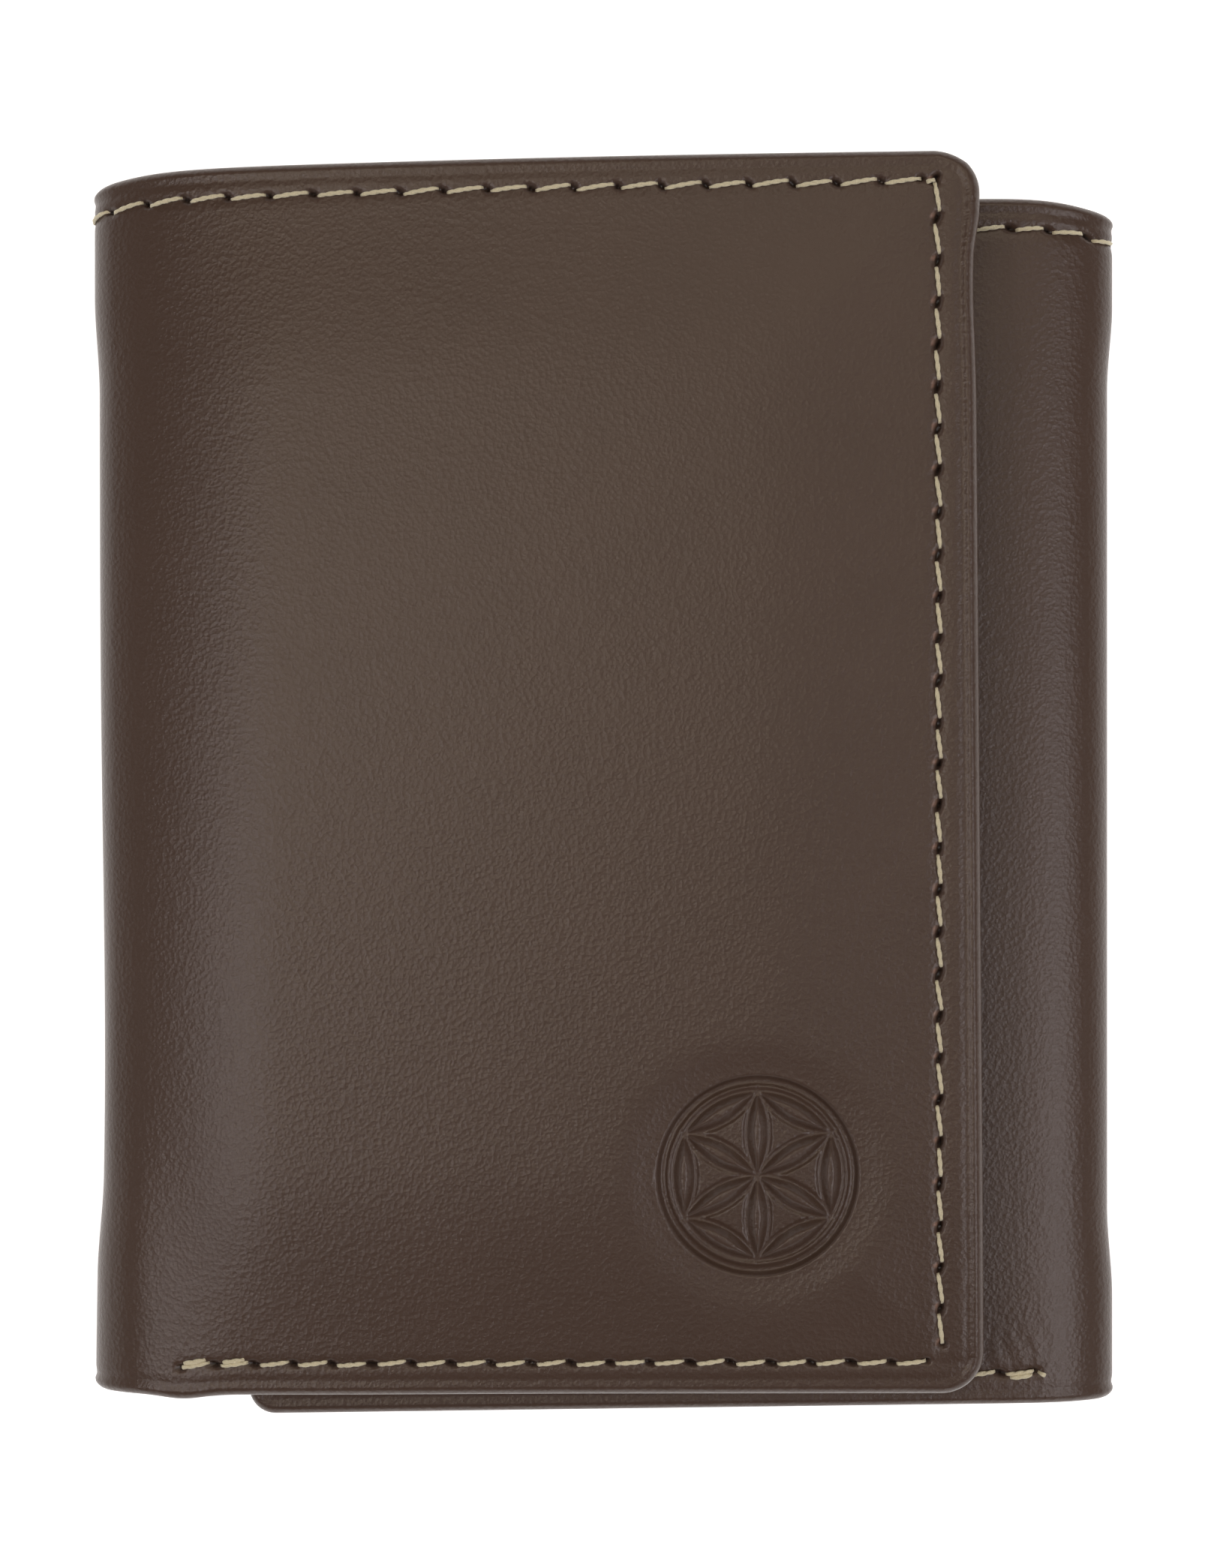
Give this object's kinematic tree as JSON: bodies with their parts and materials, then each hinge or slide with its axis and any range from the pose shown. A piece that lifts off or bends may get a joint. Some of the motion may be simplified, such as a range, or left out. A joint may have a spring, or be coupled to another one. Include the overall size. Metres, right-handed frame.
{
  "type": "trifold wallet",
  "caption": "Leather trifold wallet with two flaps folding over a middle panel, a long bill compartment, stepped card slots and a clear identity card window.",
  "frame": {"origin": "middle of the back, on the surface the wallet lies on", "axes": "+X across the wallet to the right fold, +Y up along the folds, +Z out of the front flap"},
  "size_m": [0.0898, 0.108, 0.0165],
  "materials": {
    "shell_leather": "smooth dark brown leather, soft satin",
    "pocket_leather": "smooth dark brown pocket leather, soft satin",
    "lining_fabric": "woven dark brown lining",
    "interlining": "matt bonded fibre board",
    "thread": "twisted khaki sewing thread",
    "clear_window": "clear soft plastic film"
  },
  "bodies": {
    "centre_panel": {"back_bill_divider": "lining_fabric", "back_foot_thread": "thread", "back_hem_thread": "thread", "back_interlining": "interlining", "back_leather": "shell_leather", "back_lining": "lining_fabric", "centre_pocket_base": "pocket_leather", "centre_slip_facing": "pocket_leather", "id_window_frame": "pocket_leather", "id_window_sheet": "clear_window", "right_fold_hem_thread": "thread", "right_fold_leather": "shell_leather", "right_fold_lining": "lining_fabric"},
    "left_spine": {"left_spine_leather": "shell_leather", "left_spine_lining": "lining_fabric", "lower_crease_leather": "shell_leather", "spine_hem_thread": "thread", "upper_crease_leather": "shell_leather"},
    "front_flap": {"front_bill_divider": "lining_fabric", "front_edge_thread": "thread", "front_flap_leather": "shell_leather", "front_foot_thread": "thread", "front_hem_thread": "thread", "front_interlining": "interlining", "front_lining": "lining_fabric", "front_pocket_base": "pocket_leather", "front_slot_facing_1": "pocket_leather", "front_slot_facing_2": "pocket_leather", "front_slot_facing_3": "pocket_leather", "front_slot_liner_1": "lining_fabric", "front_slot_liner_2": "lining_fabric"},
    "inner_flap": {"inner_bill_divider": "lining_fabric", "inner_edge_thread": "thread", "inner_flap_leather": "shell_leather", "inner_foot_thread": "thread", "inner_hem_thread": "thread", "inner_interlining": "interlining", "inner_lining": "lining_fabric", "inner_pocket_base": "pocket_leather", "inner_slot_facing_1": "pocket_leather", "inner_slot_facing_2": "pocket_leather", "inner_slot_facing_3": "pocket_leather", "inner_slot_liner_1": "lining_fabric", "inner_slot_liner_2": "lining_fabric"}
  },
  "joints": [
    {"name": "left_fold_lower_crease", "type": "hinge", "parent": "centre_panel", "child": "left_spine", "pos_m": [-0.04406, 0, 0.00064], "axis": [0, -1, 0], "range_deg": [0, 90], "deforming": ["lower_crease_leather"]},
    {"name": "left_fold_upper_crease", "type": "hinge", "parent": "left_spine", "child": "front_flap", "pos_m": [-0.04371, 0, 0.01106], "axis": [0, -1, 0], "range_deg": [0, 86.65], "deforming": ["upper_crease_leather"]},
    {"name": "right_fold", "type": "hinge", "parent": "centre_panel", "child": "inner_flap", "pos_m": [0.0407, 0, 0.004], "axis": [0, 1, 0], "range_deg": [0, 40], "deforming": ["right_fold_leather", "right_fold_lining", "right_fold_hem_thread"]}
  ],
  "couplings": [
    {"joint": "left_fold_upper_crease", "follows": "left_fold_lower_crease", "ratio": 0.96278},
    {"joint": "right_fold", "follows": "left_fold_lower_crease", "ratio": 0.44}
  ]
}
